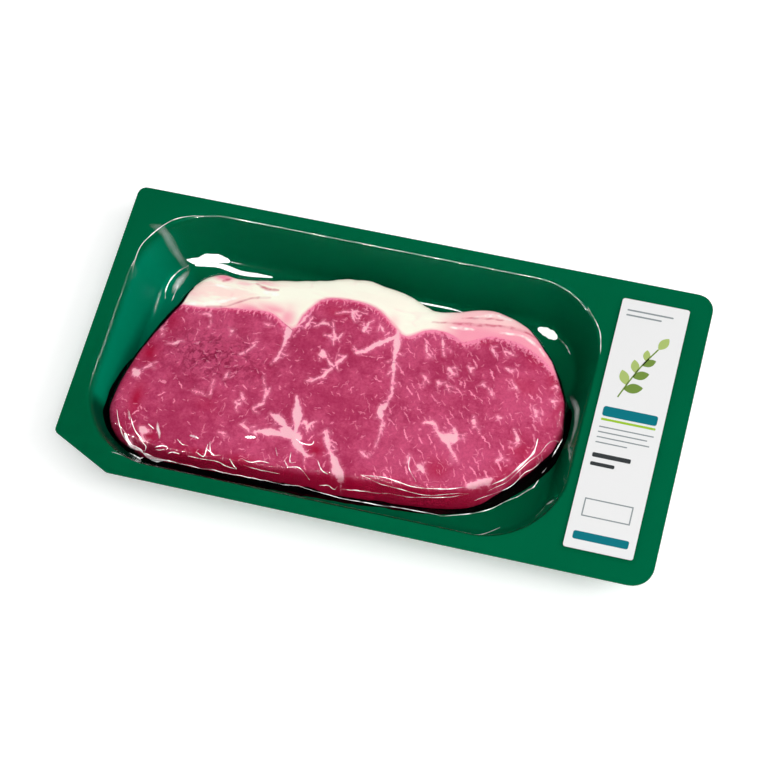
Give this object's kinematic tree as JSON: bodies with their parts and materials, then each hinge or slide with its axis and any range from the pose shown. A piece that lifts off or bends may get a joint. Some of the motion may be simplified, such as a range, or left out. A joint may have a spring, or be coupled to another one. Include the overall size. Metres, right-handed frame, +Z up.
{
  "type": "meat tray pack",
  "caption": "Skin-packed raw steak with a fat cap in a formed plastic tray, with a clear film drawn down over it and a plain label on the wide end flange.",
  "frame": {"origin": "centre of the bounding box's underside, in the plane the tray's floor rests on", "axes": "+X along the tray towards the label flange, +Y across towards the fat cap, +Z up out of the recess"},
  "size_m": [0.28, 0.148, 0.0273],
  "materials": {
    "tray": "gloss",
    "lean": "moist",
    "fat": "moist",
    "film": "clear gloss",
    "label": "satin"
  },
  "bodies": {
    "root": {"tray": "tray", "steak_lean": "lean", "steak_fat_cap": "fat", "film": "film", "label": "label"}
  },
  "joints": []
}
